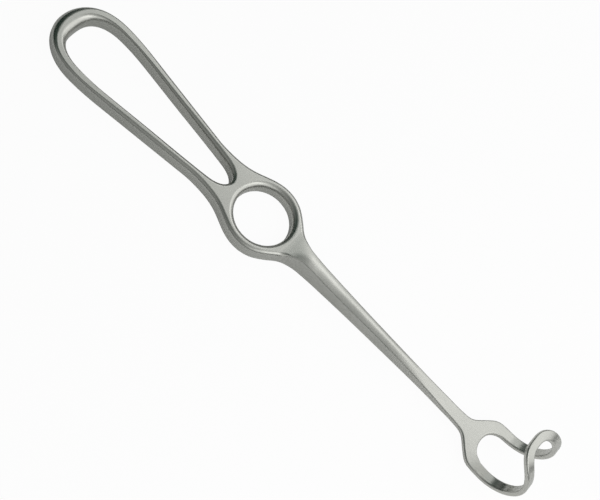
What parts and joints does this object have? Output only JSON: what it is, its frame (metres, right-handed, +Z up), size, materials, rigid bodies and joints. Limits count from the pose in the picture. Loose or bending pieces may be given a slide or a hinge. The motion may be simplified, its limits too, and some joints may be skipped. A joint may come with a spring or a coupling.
{
  "type": "hand retractor",
  "caption": "One-piece forged hand retractor: teardrop loop handle, finger ring, slim tapering shank and an open oval blade bent back into a hook.",
  "frame": {"origin": "bottom centre of the bounding box, with the instrument lying on its back", "axes": "+X along the instrument from the handle's bow to the blade, +Z up, the side the hook rises to, +Y to the left seen from the handle"},
  "size_m": [0.2194, 0.0284, 0.0288],
  "materials": {
    "satin_steel": "fine satin, brushed along the instrument"
  },
  "bodies": {
    "root": {"handle_bow": "satin_steel", "handle_rail_left": "satin_steel", "handle_rail_right": "satin_steel", "handle_crotch": "satin_steel", "finger_ring": "satin_steel", "shank_root": "satin_steel", "shank": "satin_steel", "blade_neck": "satin_steel", "blade_fork": "satin_steel", "blade_arm_left": "satin_steel", "blade_arm_right": "satin_steel", "blade_tip": "satin_steel"}
  },
  "joints": []
}
